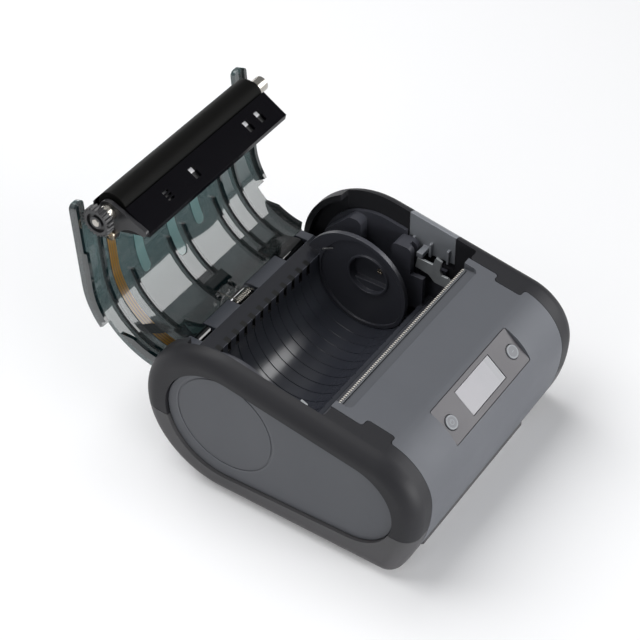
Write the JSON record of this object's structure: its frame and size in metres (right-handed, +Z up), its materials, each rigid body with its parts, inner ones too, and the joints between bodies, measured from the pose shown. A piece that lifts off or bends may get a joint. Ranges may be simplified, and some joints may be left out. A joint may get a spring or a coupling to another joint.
{
  "type": "portable label printer",
  "caption": "Compact portable thermal label printer with its curved paper cover open, showing platen roller, roll tray, tear bar and small display.",
  "frame": {"origin": "centre of the base on the surface that the printer stands on", "axes": "+X across to the side with the release button, +Y from the front to the hinge of the cover, +Z up"},
  "size_m": [0.112, 0.1445, 0.1031],
  "materials": {
    "bumper_plastic": "soft",
    "housing_plastic": "satin",
    "panel_plastic": "satin",
    "lower_plastic": "matt",
    "lens_plastic": "gloss",
    "screen_glass": "gloss",
    "key_plastic": "satin",
    "tray_plastic": "gloss",
    "inner_plastic": "satin",
    "cover_plastic": "smoky gloss",
    "roller_rubber": "matt",
    "bracket_plastic": "gloss",
    "plate_steel": "satin",
    "steel": "bright",
    "tear_steel": "bright",
    "latch_steel": "satin",
    "button_plastic": "satin",
    "ribbon_film": "satin",
    "gear_plastic": "satin",
    "heat_sink_metal": "matt",
    "ceramic": "gloss",
    "board_laminate": "satin",
    "chip_plastic": "matt",
    "battery_wrap": "satin"
  },
  "bodies": {
    "base": {"lower_housing": "lower_plastic", "battery_door": "lower_plastic", "base_screws": "steel", "left_bumper": "bumper_plastic", "right_bumper": "bumper_plastic", "left_side_panel": "panel_plastic", "right_side_panel": "panel_plastic", "front_housing": "housing_plastic", "tear_bar": "tear_steel", "display_lens": "lens_plastic", "lcd_module": "screen_glass", "key_board": "board_laminate", "key_switches": "inner_plastic", "paper_tray": "tray_plastic", "hinge_rod": "steel", "left_roll_guide": "inner_plastic", "left_bay_wall": "inner_plastic", "right_bay_wall": "inner_plastic", "print_head": "ceramic", "heat_sink": "heat_sink_metal", "head_frame": "plate_steel", "inner_deck": "inner_plastic", "head_springs": "steel", "gear_plate": "plate_steel", "paper_motor": "plate_steel", "battery_pack": "battery_wrap", "main_board": "board_laminate", "board_chips": "chip_plastic"},
    "cover": {"paper_cover": "cover_plastic", "cover_spring": "steel", "platen_bracket": "bracket_plastic", "bracket_side_plate": "plate_steel", "bracket_screws": "steel", "platen_bushes": "steel", "sensor_board": "board_laminate", "sensor_ribbon": "ribbon_film"},
    "platen": {"platen_roller": "roller_rubber", "platen_shaft": "steel", "platen_gear": "chip_plastic"},
    "latch": {"latch_levers": "latch_steel", "latch_shaft": "steel"},
    "release": {"release_button": "button_plastic"},
    "power_key": {"power_button": "key_plastic"},
    "feed_key": {"feed_button": "key_plastic"},
    "guide": {"roll_guide": "inner_plastic", "guide_screw": "steel"},
    "drive_wheel": {"drive_gear": "gear_plastic"},
    "reduction_wheel": {"reduction_gear": "gear_plastic"},
    "pinion": {"motor_pinion": "steel"}
  },
  "joints": [
    {"name": "cover_hinge", "type": "hinge", "parent": "base", "child": "cover", "pos_m": [0, 0.054, 0.0393], "axis": [1, 0, 0], "range_deg": [0, 104]},
    {"name": "platen_spin", "type": "hinge", "parent": "cover", "child": "platen", "pos_m": [0, 0.07846, 0.0969], "axis": [1, 0, 0], "continuous": true},
    {"name": "release_press", "type": "slide", "parent": "base", "child": "release", "axis": [0, 0, -1], "range_m": [0, 0.0025], "stiffness_N_per_m": 900, "springref_m": -0.0008},
    {"name": "latch_turn", "type": "hinge", "parent": "base", "child": "latch", "pos_m": [0, -0.013, 0.0365], "axis": [-1, 0, 0], "range_deg": [0, 7.45]},
    {"name": "power_press", "type": "slide", "parent": "base", "child": "power_key", "axis": [0, 0.6494, -0.7604], "range_m": [0, 0.0006], "stiffness_N_per_m": 600, "springref_m": -0.0004},
    {"name": "feed_press", "type": "slide", "parent": "base", "child": "feed_key", "axis": [0, 0.6494, -0.7604], "range_m": [0, 0.0006], "stiffness_N_per_m": 600, "springref_m": -0.0004},
    {"name": "guide_slide", "type": "slide", "parent": "base", "child": "guide", "axis": [1, 0, 0], "range_m": [-0.05, 0.002]},
    {"name": "reduction_spin", "type": "hinge", "parent": "base", "child": "reduction_wheel", "pos_m": [0, -0.019, 0.0294], "axis": [1, 0, 0], "continuous": true},
    {"name": "drive_spin", "type": "hinge", "parent": "base", "child": "drive_wheel", "pos_m": [0, -0.0101, 0.0357], "axis": [1, 0, 0], "continuous": true},
    {"name": "pinion_spin", "type": "hinge", "parent": "base", "child": "pinion", "pos_m": [0, -0.0318, 0.0248], "axis": [1, 0, 0], "continuous": true}
  ],
  "couplings": [
    {"joint": "latch_turn", "follows": "release_press", "rad_per_m": 52},
    {"joint": "drive_spin", "follows": "reduction_spin", "ratio": -0.33333},
    {"joint": "pinion_spin", "follows": "reduction_spin", "ratio": -4}
  ]
}
